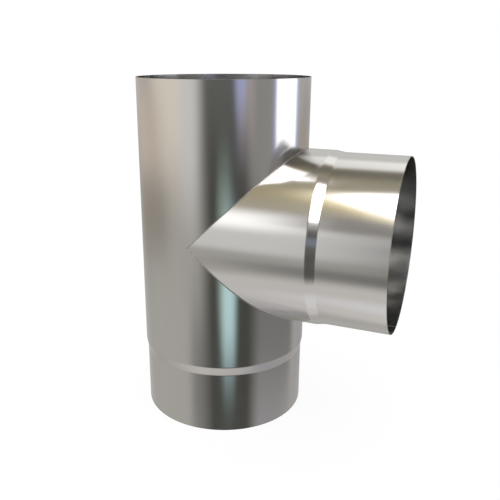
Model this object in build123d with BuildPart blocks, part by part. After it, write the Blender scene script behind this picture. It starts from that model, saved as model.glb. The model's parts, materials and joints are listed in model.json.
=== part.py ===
from build123d import *
import os

# Stove pipe tee of polished stainless sheet: a straight body with a branch of the same diameter at a
# right angle. Each pipe is rolled from flat sheet and closed by one lengthwise weld, and one end is
# swaged down to a spigot that slips inside the next pipe. The two are mitred together on planes at 45
# degrees and welded along that seam. Millimetres, +Z up, +X along the branch. The origin is on the
# body's axis, at the open end of its spigot.

# Sheet and diameters
sheet = 0.8  # wall thickness
pipe_outer_radius = 75.0  # both pipes, at full size
socket_clearance = 0.6  # radial, between a spigot and the full-size pipe that takes it

# Lengths along the pipes
overall_height = 301.4  # spigot end to socket rim
branch_height = 168.2  # spigot end to the branch's axis
branch_reach = 160.9  # body's axis to the branch's open end
spigot_length = 54.3  # straight part of a swaged end
shoulder_length = 7.9  # cone between a spigot and its pipe
shoulder_bend_radius = 4.0  # rounding where a cone starts and ends

# Welds
seam_height = 0.15  # how far a lengthwise weld stands off the sheet, inside and outside
bead_radius = 0.5  # bead in the corner between the two pipes, to its edges
bead_sides = 8

# Sizes that follow
spigot_outer_radius = pipe_outer_radius - sheet - socket_clearance
seam_radius = sheet / 2 + seam_height
seam_axis_radius = pipe_outer_radius - sheet / 2  # a lengthwise weld is centred in the sheet
wedge_size = branch_reach + pipe_outer_radius  # reaches past both pipes

# The branch stands on its open end, and its -X side, with the lengthwise weld, faces down
branch_plane = Plane((branch_reach, 0, branch_height), x_dir=(0, 0, 1), z_dir=(-1, 0, 0))


# Outline of a tube beside its axis, as radius and height, set in from the outer surface
def tube_outline(length, inset=0):
    return FilletPolyline(
        (spigot_outer_radius - inset, 0),
        (spigot_outer_radius - inset, spigot_length),
        (pipe_outer_radius - inset, spigot_length + shoulder_length),
        (pipe_outer_radius - inset, length),
        radius=shoulder_bend_radius,
    )


# Rolled tube that stands on its spigot, with its lengthwise weld on the -X side
def swaged_tube(length):
    with BuildPart() as tube:
        with BuildSketch(Plane.XZ):
            with BuildLine():
                outer = tube_outline(length)
                offset(outer, amount=sheet, side=Side.LEFT)
            make_face()
        revolve(axis=Axis.Z)
        with BuildLine(Plane.XZ.rotated((0, 0, 180))) as seam:
            tube_outline(length, sheet / 2)
        with BuildSketch(Plane(seam.line @ 0, z_dir=(0, 0, 1))):
            Circle(seam_radius)
        sweep(path=seam.line)
    return tube.part


body_tube = swaged_tube(overall_height)
branch_tube = swaged_tube(branch_reach)

# Room between the two mitre planes, which cross in a line through the body's axis
with BuildPart() as mitre_wedge:
    with BuildSketch(Plane.XZ):
        with BuildLine():
            Polyline(
                (0, branch_height),
                (wedge_size, branch_height - wedge_size),
                (wedge_size, branch_height + wedge_size),
                close=True,
            )
        make_face()
    extrude(amount=wedge_size, both=True)

# Body, notched for the branch
with BuildPart() as body_pipe:
    add(body_tube)
    add(mitre_wedge.part, mode=Mode.SUBTRACT)

# Branch, cut to fit the notch
with BuildPart() as branch_pipe:
    with Locations(branch_plane):
        add(branch_tube)
    add(mitre_wedge.part, mode=Mode.INTERSECT)

# Tips of the weld bead, where it turns a right angle on the body past the two points of the notch
tip_plane = Plane((0, -pipe_outer_radius, branch_height), x_dir=(0, 1, 0), z_dir=(1, 0, 1))
with BuildPart() as bead_tips:
    with BuildSketch(tip_plane):
        RegularPolygon(bead_radius, bead_sides)
        Rectangle(2 * bead_radius, bead_radius, align=(Align.CENTER, Align.MAX), mode=Mode.SUBTRACT)
    revolve(axis=Axis(tip_plane.origin, tip_plane.x_dir), revolution_arc=-90)
    with BuildSketch(Plane.XY):
        Circle(pipe_outer_radius)
    extrude(amount=overall_height, mode=Mode.SUBTRACT)
    mirror(about=Plane.XZ)

# Weld bead in the corner between the pipes, which meet on two half ellipses, one above the branch's
# axis and one below. Its quarter on the body above the branch is mirrored twice, and it leaves room for
# the lengthwise weld that it crosses under the branch.
upper_mitre = Plane((0, 0, branch_height), x_dir=(1, 0, 1), z_dir=(-1, 0, 1))
with BuildPart() as saddle_weld:
    with BuildLine(upper_mitre) as corner:
        EllipticalCenterArc((0, 0), pipe_outer_radius * 2**0.5, pipe_outer_radius, -90, arc_size=180)
    with BuildSketch(tip_plane):
        RegularPolygon(bead_radius, bead_sides)
    sweep(path=corner.line)
    split(bisect_by=upper_mitre)
    with BuildSketch(Plane.XY):
        Circle(pipe_outer_radius)
    extrude(amount=overall_height, mode=Mode.SUBTRACT)
    mirror(about=upper_mitre)
    mirror(about=Plane.XY.offset(branch_height))
    add(bead_tips.part)
    with BuildSketch(branch_plane):
        with Locations((-seam_axis_radius, 0)):
            Circle(seam_radius)
    extrude(amount=branch_reach, mode=Mode.SUBTRACT)

body_pipe.part.label = "body_pipe"
branch_pipe.part.label = "branch_pipe"
saddle_weld.part.label = "saddle_weld"

os.makedirs("parts", exist_ok=True)
export_step(body_pipe.part, "parts/body_pipe.step")
export_step(branch_pipe.part, "parts/branch_pipe.step")
export_step(saddle_weld.part, "parts/saddle_weld.step")
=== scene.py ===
import json
from math import atan2, cos, pi, radians, sin, tan

import bmesh
import bpy
from mathutils import Matrix, Vector


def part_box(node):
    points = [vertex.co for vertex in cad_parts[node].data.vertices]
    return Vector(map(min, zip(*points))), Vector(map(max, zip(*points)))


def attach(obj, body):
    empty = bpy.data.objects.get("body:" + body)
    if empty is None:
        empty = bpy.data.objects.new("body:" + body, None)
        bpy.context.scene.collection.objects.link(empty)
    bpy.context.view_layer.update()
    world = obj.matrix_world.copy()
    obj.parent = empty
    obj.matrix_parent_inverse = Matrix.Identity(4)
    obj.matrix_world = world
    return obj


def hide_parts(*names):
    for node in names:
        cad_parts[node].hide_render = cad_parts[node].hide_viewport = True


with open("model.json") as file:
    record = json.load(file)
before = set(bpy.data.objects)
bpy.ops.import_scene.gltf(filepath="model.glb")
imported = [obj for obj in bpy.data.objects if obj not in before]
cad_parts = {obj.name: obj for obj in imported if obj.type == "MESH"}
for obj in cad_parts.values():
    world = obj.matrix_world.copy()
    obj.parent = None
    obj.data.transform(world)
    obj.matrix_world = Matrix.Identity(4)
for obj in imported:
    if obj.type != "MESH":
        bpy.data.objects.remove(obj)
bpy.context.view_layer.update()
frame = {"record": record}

# A stove pipe tee of polished stainless sheet, dressed over its solids. Metres, +Z up, +X along the branch.
scene = bpy.context.scene
scene.view_settings.view_transform = "Standard"
samePlace = 1e-6  # points nearer than this become one
firstColour, secondColour, mixedColour = 6, 7, 2  # sockets of a Mix node that mixes colours


def linear(hexColour, light=1.0):
    # sRGB hex to the linear colour that the shaders take
    parts = [int(hexColour[i : i + 2], 16) / 255 for i in (1, 3, 5)]
    parts = [c / 12.92 if c <= 0.04045 else ((c + 0.055) / 1.055) ** 2.4 for c in parts]
    return tuple(light * c for c in parts) + (1.0,)


def addNode(tree, kind, inputs=None, **settings):
    # one node with its settings, and a value or a link for each socket named
    node = tree.nodes.new(kind)
    for name, value in settings.items():
        setattr(node, name, value)
    for name, value in (inputs or {}).items():
        if isinstance(value, bpy.types.NodeSocket):
            tree.links.new(value, node.inputs[name])
        else:
            node.inputs[name].default_value = value
    return node


def newMaterial(name):
    material = bpy.data.materials.new(name)
    material.use_nodes = True
    material.node_tree.nodes.clear()
    return material


def mirrored(bm, axes):
    # a quarter turn becomes a full one, by a copy across each axis in turn
    for axis in axes:
        half = bm.verts[:] + bm.edges[:] + bm.faces[:]
        bmesh.ops.mirror(bm, geom=half, matrix=Matrix(), merge_dist=samePlace, axis=axis)


def inOrder(bm):
    # spin leaves its parts in a chance order, so they are put in a fixed one
    for rank, vert in enumerate(sorted(bm.verts, key=lambda v: v.co[:])):
        vert.index = rank
    for parts in (bm.edges, bm.faces):
        for rank, part in enumerate(sorted(parts, key=lambda p: sorted(v.index for v in p.verts))):
            part.index = rank
    for parts in (bm.verts, bm.edges, bm.faces):
        parts.sort()


def newPiece(name, bm, *materials):
    inOrder(bm)
    mesh = bpy.data.meshes.new(name)
    bm.to_mesh(mesh)
    bm.free()
    for material in materials:
        mesh.materials.append(material)
    piece = bpy.data.objects.new(name, mesh)
    scene.collection.objects.link(piece)
    return piece


# Sizes that the frame gives
mounts = {mount["name"]: mount for mount in frame["record"]["mounts"]}
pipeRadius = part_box("body_pipe")[1].y
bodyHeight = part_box("body_pipe")[1].z
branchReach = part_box("branch_pipe")[1].x
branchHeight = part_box("branch_pipe")[1].z - pipeRadius
spigotRadius = mounts["bottom_spigot"]["dims"]["r_mm"] / 1000
sheet = pipeRadius - mounts["top_socket"]["dims"]["r_mm"] / 1000

print("camera")
view = {
    "place": (0.2172, -0.4922, 0.3178),
    "down": 17.05,  # degrees below level
    "turn": 23.05,  # degrees to the left of +Y
    "lens": 43.51,  # millimetres, as the sensor's width
    "sensor": 36,
    "shift": (0.0361, -0.0170),
    "nearest": 0.01,
}
lens = bpy.data.cameras.new("camera")
lens.sensor_width = view["sensor"]
lens.lens = view["lens"]
lens.shift_x, lens.shift_y = view["shift"]
lens.clip_start = view["nearest"]
camera = bpy.data.objects.new("camera", lens)
camera.location = view["place"]
camera.rotation_euler = (radians(90 - view["down"]), 0, radians(view["turn"]))
scene.collection.objects.link(camera)
scene.camera = camera

print("studio")
# What the metal mirrors: a room of pale walls with soft boxes, placed in degrees round from +X and up.
# Ceiling panels hang level, so they are placed by how far they lie along X and Y for each metre up.
studio = {
    "walls": [  # angle up, colour, light
        (-90, "#FFFDFB", 0.86),
        (-62, "#FFFDFA", 0.78),
        (-48, "#FFFCF6", 0.80),
        (-37, "#FFFDF8", 0.52),
        (-24, "#FFFDF6", 0.54),
        (-15, "#FFFCF4", 0.48),
        (-9, "#FFFAF4", 0.47),
        (-4, "#FFFBF4", 0.585),
        (5, "#FFFCF8", 0.605),
        (20, "#FFFEFC", 0.78),
        (32, "#FEFCF8", 0.81),
        (42, "#FFF8E2", 0.57),
        (60, "#FFF1C4", 0.51),
        (90, "#FFF6E0", 0.395),
    ],
    "panels": {  # kind, centre, size, soft edge, colour, light; later ones cover earlier ones
        "left floor": ("wall", (-152, -29.3), (68, 24.6), (30, 12), "#FFFDF6", 0.58),
        "left glow": ("wall", (-141, 1), (62, 25), (30, 12), "#FFF7EA", 1.00),
        "left glow end": ("wall", (-110.7, 2.5), (23, 33), (30, 14), "#FDFEFD", 0.90),
        "warm wall": ("wall", (176, -7), (54, 9), (44, 6), "#FFF1E0", 0.755),
        "brown skirting": ("wall", (178, -14.5), (70, 6.5), (34, 6), "#FFF6E8", 0.41),
        "left lamp": ("wall", (-119, 24.8), (23, 19.4), (13, 16), "#FFFFFF", 1.83),
        "dark floor edge": ("wall", (-100, -31), (28, 14), (20, 11), "#FFFDF8", 0.29),
        "gap": ("wall", (-98, 33.3), (21, 19.5), (10, 10), "#FFFCF4", 0.34),
        "right low floor": ("wall", (5, -62), (130, 26), (40, 14), "#FCFCFF", 0.70),
        "right far floor": ("wall", (22, -41), (92, 22), (40, 10), "#FBFAFF", 0.50),
        "right floor": ("wall", (3, -22), (88, 18), (20, 12), "#FFFFFE", 0.265),
        "dark room": ("wall", (-58.2, -8.5), (69.6, 68.5), (24, 16), "#FFFFF2", 0.088),
        "dim doorway": ("wall", (-67, 0), (42, 14), (14, 10), "#FDFFF9", 0.17),
        "shelf": ("wall", (-84, 8.5), (24, 10), (10, 6), "#DEECFF", 0.38),
        "right wall": ("wall", (-7, -1), (54, 24), (18, 9), "#FFFDF8", 0.38),
        "upper right wall": ("wall", (31, 35), (76, 50), (34, 8), "#FFFCF6", 0.20),
        "soft box fringe": ("wall", (23.2, 1.2), (44.6, 21.8), (4, 3), "#C0BCFF", 1.0),
        "soft box sky edge": ("wall", (43, 1.8), (6, 22), (4, 3), "#CADCFF", 0.95),
        "soft box top edge": ("wall", (25, 11.6), (40, 3.4), (4, 2.4), "#CADCFF", 0.95),
        "low soft box": ("wall", (22.8, 1), (36.4, 20), (4, 3), "#FFFFFF", 2.2),
        "green glow": ("wall", (-66.5, -18.5), (16.5, 15), (11, 9), "#E6FFF0", 0.44),
        "teal window": ("wall", (-60.3, -22.2), (18.2, 12.2), (12, 9), "#D8FBFF", 1.12),
        "pink wall": ("wall", (-38, 4), (22, 22), (10, 9), "#FFF4F2", 0.53),
        "lilac window": ("wall", (-45, 6), (14, 20), (8, 7), "#C4CEFF", 1.05),
        "back light": ("wall", (85, 49), (72, 24), (60, 12), "#FEFFFD", 1.38),
        "front floor": ("wall", (-82, -76.5), (108, 27), (40, 14), "#FEFDFF", 0.98),
        "right corner": ("wall", (84, -19), (44, 33), (22, 6), "#FBFCFF", 0.465),
        "brown corner": ("wall", (72, -10), (32, 10), (14, 6), "#FFF3E7", 0.495),
        "back floor": ("wall", (100, -54), (140, 42), (40, 14), "#FFFDF8", 0.58),
        "back floor edge": ("wall", (105, -42), (150, 12), (40, 10), "#FFFDF6", 0.47),
        "dark ceiling": ("ceiling", (0, 0.403), (3, 0.345), (0.4, 0.26), "#FFF8E0", 0.25),
        "gold rim": ("ceiling", (-0.05, -0.745), (0.69, 1.09), (0.11, 0.20), "#FFE9A4", 1.2),
        "small window": ("ceiling", (-0.372, 0.145), (0.20, 0.21), (0.015, 0.03), "#FDFDFF", 5.0),
        "overhead soft box": ("ceiling", (0.20, -0.81), (1.05, 1.44), (0.05, 0.05), "#FFFFFF", 4.0),
    },
    "ceilingTurn": 11,  # degrees round from +X
    "ceilingEnd": 0.02,  # rays that climb less than this, per unit of length, pass under the ceiling
    "corner": 0.5,  # rounding of a panel's corners, in widths of its soft edge
    "roundCorners": {"gold rim": 1.5, "overhead soft box": 6.5},
}
world = bpy.data.worlds.new("studio")
scene.world = world
world.use_nodes = True
world.cycles.sampling_method = "NONE"  # the metal's own rays find the panels
sky = world.node_tree
sky.nodes.clear()
heading = addNode(sky, "ShaderNodeTexCoord").outputs["Generated"]
split = addNode(sky, "ShaderNodeSeparateXYZ", {"Vector": heading})
x, y, z = (split.outputs[axis] for axis in "XYZ")
around = addNode(sky, "ShaderNodeMath", {0: y, 1: x}, operation="ARCTAN2").outputs[0]
up = addNode(sky, "ShaderNodeMath", {0: z}, operation="ARCSINE").outputs[0]
wallPlace = addNode(sky, "ShaderNodeCombineXYZ", {"X": around, "Y": up}).outputs[0]
climb = addNode(sky, "ShaderNodeMath", {0: z, 1: studio["ceilingEnd"]}, operation="MAXIMUM").outputs[0]
perMetreUp = addNode(sky, "ShaderNodeMath", {0: 1.0, 1: climb}, operation="DIVIDE").outputs[0]
level = addNode(sky, "ShaderNodeVectorMath", {0: heading, 1: (1, 1, 0)}, operation="MULTIPLY").outputs[0]
level = addNode(sky, "ShaderNodeVectorMath", {0: level, "Scale": perMetreUp}, operation="SCALE").outputs[0]
ceilingPlace = addNode(
    sky,
    "ShaderNodeVectorRotate",
    {"Vector": level, "Angle": -radians(studio["ceilingTurn"])},
    rotation_type="Z_AXIS",
).outputs[0]
reachesCeiling = addNode(
    sky, "ShaderNodeMath", {0: z, 1: studio["ceilingEnd"]}, operation="GREATER_THAN"
).outputs[0]
places = {"wall": wallPlace, "ceiling": ceilingPlace}
units = {"wall": radians(1), "ceiling": 1.0}

upShare = addNode(sky, "ShaderNodeMapRange", {"Value": up, "From Min": -pi / 2, "From Max": pi / 2})
ramp = addNode(sky, "ShaderNodeValToRGB", {"Fac": upShare.outputs[0]})
stops = ramp.color_ramp.elements
for angle, colour, light in studio["walls"][1:-1]:
    stops.new((angle + 90) / 180).color = linear(colour, light)
stops[0].color = linear(*studio["walls"][0][1:])
stops[len(stops) - 1].color = linear(*studio["walls"][-1][1:])
room = ramp.outputs["Color"]

for name, (kind, centre, size, soft, colour, light) in studio["panels"].items():
    unit = units[kind]
    place = addNode(
        sky,
        "ShaderNodeVectorMath",
        {0: places[kind], 1: (centre[0] * unit, centre[1] * unit, 0)},
        operation="SUBTRACT",
    ).outputs[0]
    if kind == "wall":
        # the way round wraps at half a turn, and the way up is left as it is
        place = addNode(
            sky,
            "ShaderNodeVectorMath",
            {0: place, 1: (pi, 4, 1), 2: (-pi, -4, -1)},
            operation="WRAP",
        ).outputs[0]
    place = addNode(sky, "ShaderNodeVectorMath", {0: place}, operation="ABSOLUTE").outputs[0]
    # how far a ray lands past the panel's core, in widths of the soft edge
    corner = studio["roundCorners"].get(name, studio["corner"])
    core = [(size[i] / 2 - corner * soft[i]) * unit for i in (0, 1)]
    past = addNode(sky, "ShaderNodeVectorMath", {0: place, 1: (*core, 0)}, operation="SUBTRACT").outputs[0]
    past = addNode(sky, "ShaderNodeVectorMath", {0: past, 1: (0, 0, 0)}, operation="MAXIMUM").outputs[0]
    perEdge = (1 / soft[0] / unit, 1 / soft[1] / unit, 0)
    past = addNode(sky, "ShaderNodeVectorMath", {0: past, 1: perEdge}, operation="MULTIPLY").outputs[0]
    far = addNode(sky, "ShaderNodeVectorMath", {0: past}, operation="LENGTH").outputs["Value"]
    inside = addNode(
        sky,
        "ShaderNodeMapRange",
        {"Value": far, "From Min": corner + 0.5, "From Max": corner - 0.5},
        interpolation_type="SMOOTHSTEP",
        label=name,
    ).outputs[0]
    if kind == "ceiling":
        inside = addNode(
            sky, "ShaderNodeMath", {0: inside, 1: reachesCeiling}, operation="MULTIPLY"
        ).outputs[0]
    room = addNode(
        sky,
        "ShaderNodeMix",
        {0: inside, firstColour: room, secondColour: linear(colour, light)},
        data_type="RGBA",
    ).outputs[mixedColour]

# The eye and the floor see plain white, and only the metal mirrors the room
ray = addNode(sky, "ShaderNodeLightPath")
mirroring = addNode(
    sky,
    "ShaderNodeMath",
    {0: ray.outputs["Is Glossy Ray"], 1: ray.outputs["Is Transmission Ray"]},
    operation="MAXIMUM",
).outputs[0]
seen = addNode(
    sky,
    "ShaderNodeMix",
    {0: mirroring, firstColour: (1, 1, 1, 1), secondColour: room},
    data_type="RGBA",
).outputs[mixedColour]
backdrop = addNode(sky, "ShaderNodeBackground", {"Color": seen, "Strength": 1.0})
addNode(sky, "ShaderNodeOutputWorld", {"Surface": backdrop.outputs[0]})

# Matte white paper floor: white to the eye where it is open, with the object's soft shadow
floorLook = {
    "size": 12.0,
    "colour": "#606060",
    "lift": 0.9,  # light that only the eye gets from it
}
paper = newMaterial("white_paper")
tree = paper.node_tree
matte = addNode(tree, "ShaderNodeBsdfDiffuse", {"Color": linear(floorLook["colour"])})
toCamera = addNode(tree, "ShaderNodeLightPath").outputs["Is Camera Ray"]
lift = addNode(tree, "ShaderNodeMath", {0: toCamera, 1: floorLook["lift"]}, operation="MULTIPLY")
glow = addNode(tree, "ShaderNodeEmission", {"Color": (1, 1, 1, 1), "Strength": lift.outputs[0]})
both = addNode(tree, "ShaderNodeAddShader", {0: matte.outputs[0], 1: glow.outputs[0]})
addNode(tree, "ShaderNodeOutputMaterial", {"Surface": both.outputs[0]})
bm = bmesh.new()
bmesh.ops.create_grid(bm, x_segments=1, y_segments=1, size=floorLook["size"])
floor = newPiece("floor", bm, paper)
floor.visible_glossy = False

print("materials")


def stainless(name, look):
    # Sizes and heights are in millimetres. Clouds change the roughness, waves stay from the rolling, and the
    # grain is the finish itself: the real one is finer than a pixel, so it is drawn as coarse as it shows.
    material = newMaterial(name)
    tree = material.node_tree
    place = addNode(tree, "ShaderNodeTexCoord").outputs["Object"]
    clouds, waves, grain = (
        addNode(
            tree, "ShaderNodeTexNoise", {"Vector": place, "Scale": 1000 / look[size], "Detail": detail}
        ).outputs[0]
        for size, detail in (("cloudSize", 3.0), ("waveSize", 1.0), ("grainSize", 4.0))
    )
    smoothest, roughest = look["rough"]  # at 0.3 and 0.7 of the noise, which seldom goes further
    rough = addNode(
        tree,
        "ShaderNodeMapRange",
        {"Value": clouds, "From Min": 0.3, "From Max": 0.7, "To Min": smoothest, "To Max": roughest},
    )
    rolled = addNode(
        tree,
        "ShaderNodeBump",
        {"Height": waves, "Distance": look["waveHeight"] / 1000, "Strength": 1.0},
    )
    ground = addNode(
        tree,
        "ShaderNodeBump",
        {
            "Height": grain,
            "Distance": look["grainHeight"] / 1000,
            "Strength": 1.0,
            "Normal": rolled.outputs[0],
        },
    )
    metal = addNode(
        tree,
        "ShaderNodeBsdfPrincipled",
        {
            "Base Color": linear(look["colour"]),
            "Metallic": 1.0,
            "Roughness": rough.outputs[0],
            "Normal": ground.outputs[0],
        },
    )
    addNode(tree, "ShaderNodeOutputMaterial", {"Surface": metal.outputs[0]})
    return material


# 304 stainless, cold rolled and polished bright: a clear, slightly soft mirror with a fine grain
brightSheet = stainless(
    "stainless_304_polished",
    {
        "colour": "#CAC8C6",
        "rough": (0.12, 0.15),
        "cloudSize": 45,
        "grainSize": 1.2,
        "grainHeight": 0.004,
        "waveSize": 70,
        "waveHeight": 0.02,
    },
)
# The sheet's other side keeps its cold-rolled 2B finish, with more grain. Its colour is painted lighter than
# the metal, a painted reflection that makes up for the deepest mirrorings inside the pipes, which the render
# leaves out.
millSheetWithPaintedReflection = stainless(
    "stainless_304_mill_2b_painted_reflection",
    {
        # painted reflection: lighter than the metal, for the mirrorings inside the pipes that the render
        # leaves out
        "colour": "#E3E3E3",
        "rough": (0.10, 0.15),
        "cloudSize": 9,
        "grainSize": 0.9,
        "grainHeight": 0.03,
        "waveSize": 70,
        "waveHeight": 0.02,
    },
)
# Sheared edges of the sheet, deburred but not polished, so rougher; their dark colour is painted shade, so
# the rims show no bright line
cutEdgeWithPaintedShade = stainless(
    "stainless_304_sheared_edge_painted_shade",
    {
        # painted shade: far darker than the metal, so the rims catch no light line
        "colour": "#62605E",
        "rough": (0.38, 0.45),
        "cloudSize": 8,
        "grainSize": 0.6,
        "grainHeight": 0.01,
        "waveSize": 40,
        "waveHeight": 0.01,
    },
)
# TIG weld, brushed but not polished: darker and rougher than the sheet
weldMetal = stainless(
    "stainless_tig_weld",
    {
        "colour": "#A39E98",
        "rough": (0.36, 0.44),
        "cloudSize": 6,
        "grainSize": 0.8,
        "grainHeight": 0.004,
        "waveSize": 20,
        "waveHeight": 0.01,
    },
)

print("pipes")
pipe = {
    "spigotLength": 0.0543,
    "shoulderLength": 0.0079,
    "bendRadius": 0.004,  # where the shoulder starts and ends
    "bendSteps": 4,
    "rimRound": 0.00015,  # at the sheet's cut edges
    "rimSteps": 2,
    "steps": 128,  # in a quarter turn
    "ringGap": 0.01,  # along the pipe
    "endRing": 0.001,  # from a rim or a bend to the next ring
    "spare": 0.012,  # cut off the branch again at the mitre
    "sharpAngle": 8,  # degrees, above which an edge shows
    "skinFacing": 0.97,  # how squarely a face looks away from the axis, or at it, to be skin and no edge
}
shoulderTop = pipe["spigotLength"] + pipe["shoulderLength"]
shoulderTurn = atan2(pipeRadius - spigotRadius, pipe["shoulderLength"])


def rolledTube(length):
    # section of the wall, up the outside and back down the inside, standing on its spigot
    bm = bmesh.new()
    outside = [
        (spigotRadius, 0),
        (spigotRadius, pipe["spigotLength"]),
        (pipeRadius, shoulderTop),
        (pipeRadius, length),
    ]
    inside = [(radius - sheet, height) for radius, height in reversed(outside)]
    corners = [bm.verts.new((radius, 0, height)) for radius, height in outside + inside]
    bm.faces.new(corners)
    bends = [corners[i] for i in (1, 2, 5, 6)]  # both ends of the shoulder, outside and inside
    rims = [corners[i] for i in (0, 3, 4, 7)]
    bmesh.ops.bevel(
        bm,
        geom=bends,
        offset=pipe["bendRadius"] * tan(shoulderTurn / 2),
        segments=pipe["bendSteps"],
        profile=0.5,
        affect="VERTICES",
        material=-1,
    )
    bmesh.ops.bevel(
        bm,
        geom=rims,
        offset=pipe["rimRound"],
        segments=pipe["rimSteps"],
        profile=0.5,
        affect="VERTICES",
        material=-1,
    )
    near = pipe["endRing"]
    rings = [near, pipe["spigotLength"] - near, shoulderTop + near, length - near]
    rings += [step * pipe["ringGap"] for step in range(1, round(length / pipe["ringGap"]))]
    for height in rings:
        whole = bm.verts[:] + bm.edges[:] + bm.faces[:]
        bmesh.ops.bisect_plane(bm, geom=whole, dist=samePlace, plane_co=(0, 0, height), plane_no=(0, 0, 1))
    across = [e for e in bm.edges if not e.is_boundary]
    bmesh.ops.delete(bm, geom=bm.faces[:], context="FACES_ONLY")
    bmesh.ops.delete(bm, geom=across, context="EDGES")
    bmesh.ops.spin(
        bm,
        geom=bm.verts[:] + bm.edges[:],
        cent=(0, 0, 0),
        axis=(0, 0, 1),
        angle=pi / 2,
        steps=pipe["steps"],
    )
    mirrored(bm, "XY")
    return bm


def cutAlong(bm, part, normal, **side):
    # cuts by a plane through the point where the two axes meet
    edges = dict.fromkeys(e for f in part for e in f.edges)
    verts = dict.fromkeys(v for f in part for v in f.verts)
    geom = [*part, *edges, *verts]
    meet = (0, 0, branchHeight)
    bmesh.ops.bisect_plane(bm, geom=geom, dist=samePlace, plane_co=meet, plane_no=normal, **side)


def closeMitre(bm):
    # bridges the two skins along the cut, and readies the wall for smooth shading
    bmesh.ops.remove_doubles(bm, verts=bm.verts[:], dist=samePlace)
    inOrder(bm)
    bmesh.ops.bridge_loops(bm, edges=[e for e in bm.edges if e.is_boundary])
    bmesh.ops.recalc_face_normals(bm, faces=bm.faces[:])
    for face in bm.faces:
        face.smooth = True
    for edge in bm.edges:
        edge.smooth = len(edge.link_faces) == 2 and edge.calc_face_angle(0) < radians(pipe["sharpAngle"])


# Body: cut level through the branch's axis, then each half along its own mitre
bm = rolledTube(bodyHeight)
cutAlong(bm, bm.faces[:], (0, 0, 1))
upper = [f for f in bm.faces if f.calc_center_median().z > branchHeight]
cutAlong(bm, upper, (1, 0, -1))
lower = [f for f in bm.faces if f.calc_center_median().z < branchHeight]
cutAlong(bm, lower, (1, 0, 1))
middles = [(f, f.calc_center_median()) for f in bm.faces]
notch = [f for f, middle in middles if middle.x > abs(middle.z - branchHeight)]
bmesh.ops.delete(bm, geom=notch, context="FACES")
closeMitre(bm)
bodyPipe = newPiece("body_pipe_sheet", bm, brightSheet, millSheetWithPaintedReflection, cutEdgeWithPaintedShade)

# Branch: laid with its spigot towards +X, its weld side down
layDown = Matrix.Translation((branchReach, 0, branchHeight)) @ Matrix.Rotation(radians(-90), 4, "Y")
bm = rolledTube(branchReach + pipe["spare"])
bmesh.ops.transform(bm, matrix=layDown, verts=bm.verts[:])
cutAlong(bm, bm.faces[:], (1, 0, -1), clear_inner=True)
cutAlong(bm, bm.faces[:], (1, 0, 1), clear_inner=True)
closeMitre(bm)
branchPipe = newPiece("branch_pipe_sheet", bm, brightSheet, millSheetWithPaintedReflection, cutEdgeWithPaintedShade)

# The inner skins take the mill finish with its painted reflection, and the rims are bare edges in painted
# shade
for piece, axisPoint, axisWay in (
    (bodyPipe, Vector((0, 0, 0)), Vector((0, 0, 1))),
    (branchPipe, Vector((0, 0, branchHeight)), Vector((1, 0, 0))),
):
    for face in piece.data.polygons:
        out = face.center - axisPoint
        out -= axisWay * out.dot(axisWay)
        facing = face.normal.dot(out) / out.length
        if abs(facing) > pipe["skinFacing"]:
            face.material_index = 0 if facing > 0 else 1
        else:
            face.material_index = 2

print("welds")
weld = {
    "seamRadius": 0.00055,  # round bead in the middle of the sheet
    "saddleRadius": 0.0005,
    "sides": 12,
    "pitch": 0.0012,  # from ripple to ripple
    "stepsPerRipple": 4,
    "ripple": 0.06,  # share of the radius
}


def rippled(distance):
    # how much the bead swells at a distance along it
    return 1 + weld["ripple"] * cos(2 * pi * distance / weld["pitch"])


def middleRadius(height):
    # of the sheet, at a height above the spigot's end
    share = min(max((height - pipe["spigotLength"]) / pipe["shoulderLength"], 0), 1)
    return spigotRadius + (pipeRadius - spigotRadius) * share - sheet / 2


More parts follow.
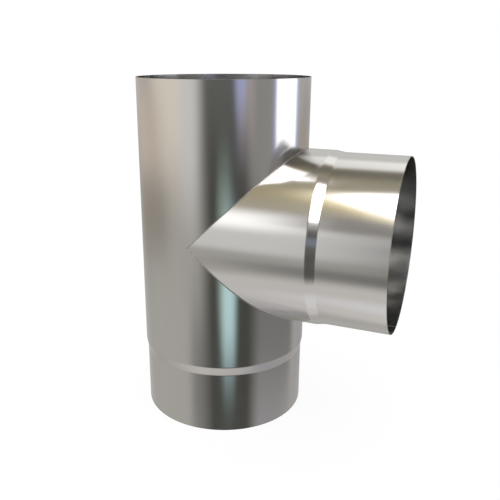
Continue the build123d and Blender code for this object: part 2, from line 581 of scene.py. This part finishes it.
def lengthwiseWeld(length):
    radius = weld["seamRadius"]
    rod = Matrix.Translation((0, 0, length / 2))
    bm = bmesh.new()
    bmesh.ops.create_cone(
        bm, cap_ends=True, segments=weld["sides"], radius1=radius, radius2=radius, depth=length, matrix=rod
    )
    along = [e for e in bm.edges if e.calc_length() > length / 2]
    steps = round(length / weld["pitch"] * weld["stepsPerRipple"])
    bmesh.ops.subdivide_edges(bm, edges=along, cuts=steps - 1, use_grid_fill=True)
    for vert in bm.verts:
        swell = rippled(vert.co.z)
        vert.co.x = vert.co.x * swell - middleRadius(vert.co.z)
        vert.co.y *= swell
    return bm


def smoothShaded(bm):
    # the bead's four-sided faces, and not its ends
    bmesh.ops.recalc_face_normals(bm, faces=bm.faces[:])
    for face in bm.faces:
        face.smooth = len(face.verts) == 4
    return bm


bodySeam = newPiece("body_lengthwise_weld", smoothShaded(lengthwiseWeld(bodyHeight)), weldMetal)

bm = lengthwiseWeld(branchReach)
bmesh.ops.transform(bm, matrix=layDown, verts=bm.verts[:])
cutAlong(bm, bm.faces[:], (1, 0, 1), clear_inner=True)
bmesh.ops.holes_fill(bm, edges=[e for e in bm.edges if e.is_boundary])
branchSeam = newPiece("branch_lengthwise_weld", smoothShaded(bm), weldMetal)

# Round the branch the bead starts as a level ring about the branch's axis, and each part of it slides out
# along X to the corner between the pipes
bm = bmesh.new()
bmesh.ops.create_circle(bm, segments=weld["sides"], radius=weld["saddleRadius"])
bmesh.ops.transform(
    bm,
    matrix=Matrix.Translation((0, 0, pipeRadius)) @ Matrix.Rotation(radians(90), 4, "X"),
    verts=bm.verts[:],
)
bmesh.ops.spin(
    bm,
    geom=bm.verts[:] + bm.edges[:],
    cent=(0, 0, 0),
    axis=(1, 0, 0),
    angle=pi / 2,
    steps=round(pi * pipeRadius / 2 / weld["pitch"] * weld["stepsPerRipple"]),
)
mirrored(bm, "YZ")
for vert in bm.verts:
    turn = atan2(vert.co.y, vert.co.z)
    core = Vector((0, sin(turn), cos(turn))) * pipeRadius
    vert.co = core + (vert.co - core) * rippled(turn * pipeRadius)
    vert.co += Vector((pipeRadius * abs(cos(turn)), 0, branchHeight))
saddleWeld = newPiece("saddle_weld_bead", smoothShaded(bm), weldMetal)

print("frame")
for piece, slot in (
    (bodyPipe, "stainless_sheet"),
    (branchPipe, "stainless_sheet"),
    (bodySeam, "stainless_weld"),
    (branchSeam, "stainless_weld"),
    (saddleWeld, "stainless_weld"),
):
    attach(piece, "root")
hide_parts("body_pipe")
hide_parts("branch_pipe")
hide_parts("saddle_weld")
